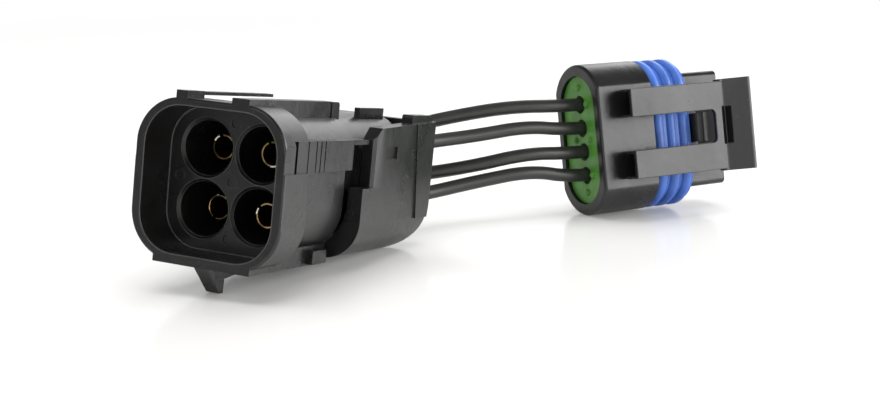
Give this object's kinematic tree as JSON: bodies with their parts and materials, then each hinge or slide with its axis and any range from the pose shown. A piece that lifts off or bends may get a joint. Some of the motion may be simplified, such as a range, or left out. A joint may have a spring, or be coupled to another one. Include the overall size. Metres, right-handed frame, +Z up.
{
  "type": "wiring harness adapter",
  "caption": "Short wiring adapter with a square shrouded socket connector on one end, an oval sealed latching connector on the other, and leads between them.",
  "frame": {"origin": "bottom centre of the two connectors' box, on the bench that the adapter lies on", "axes": "+X runs from the square mouth towards the oval connector, +Z is up, and the latch and camera side faces -Y"},
  "size_m": [0.1201, 0.0828, 0.0332],
  "materials": {
    "black_housing": "moulded black nylon with a soft sheen",
    "oval_black": "moulded black nylon with a soft sheen",
    "lead_jacket": "smooth black insulation",
    "gold_plating": "bright gold plating",
    "tin_plating": "bright tin plating",
    "blue_rubber": "smooth blue silicone",
    "green_rubber": "smooth green silicone",
    "cable_seal_rubber": "smooth green silicone"
  },
  "bodies": {
    "root": {"square_housing": "black_housing", "socket_terminal_1": "gold_plating", "socket_terminal_2": "gold_plating", "socket_terminal_3": "gold_plating", "socket_terminal_4": "gold_plating", "cable_seal_1": "cable_seal_rubber", "cable_seal_2": "cable_seal_rubber", "cable_seal_3": "cable_seal_rubber", "cable_seal_4": "cable_seal_rubber", "lead_1": "lead_jacket", "lead_2": "lead_jacket", "lead_3": "lead_jacket", "lead_4": "lead_jacket", "oval_housing": "oval_black", "perimeter_seal": "blue_rubber", "lead_seal": "green_rubber", "oval_terminal_1": "tin_plating", "oval_terminal_2": "tin_plating", "oval_terminal_3": "tin_plating", "oval_terminal_4": "tin_plating"},
    "near_door": {"near_lock_door": "black_housing"},
    "far_door": {"far_lock_door": "black_housing"},
    "latch": {"release_latch": "oval_black"}
  },
  "joints": [
    {"name": "near_door_hinge", "type": "hinge", "parent": "root", "child": "near_door", "pos_m": [-0.03429, 0.01283, 0.00892], "axis": [-0.1208, 0.0523, -0.9913], "range_deg": [0, 90]},
    {"name": "far_door_hinge", "type": "hinge", "parent": "root", "child": "far_door", "pos_m": [-0.03413, 0.0389, 0.01027], "axis": [0.1208, -0.0523, 0.9913], "range_deg": [0, 90]},
    {"name": "latch_pivot", "type": "hinge", "parent": "root", "child": "latch", "pos_m": [0.03303, -0.02119, 0.01764], "axis": [-0.0945, -0.1468, -0.9846], "range_deg": [0, 5], "stiffness_Nm_per_rad": 0.4}
  ]
}
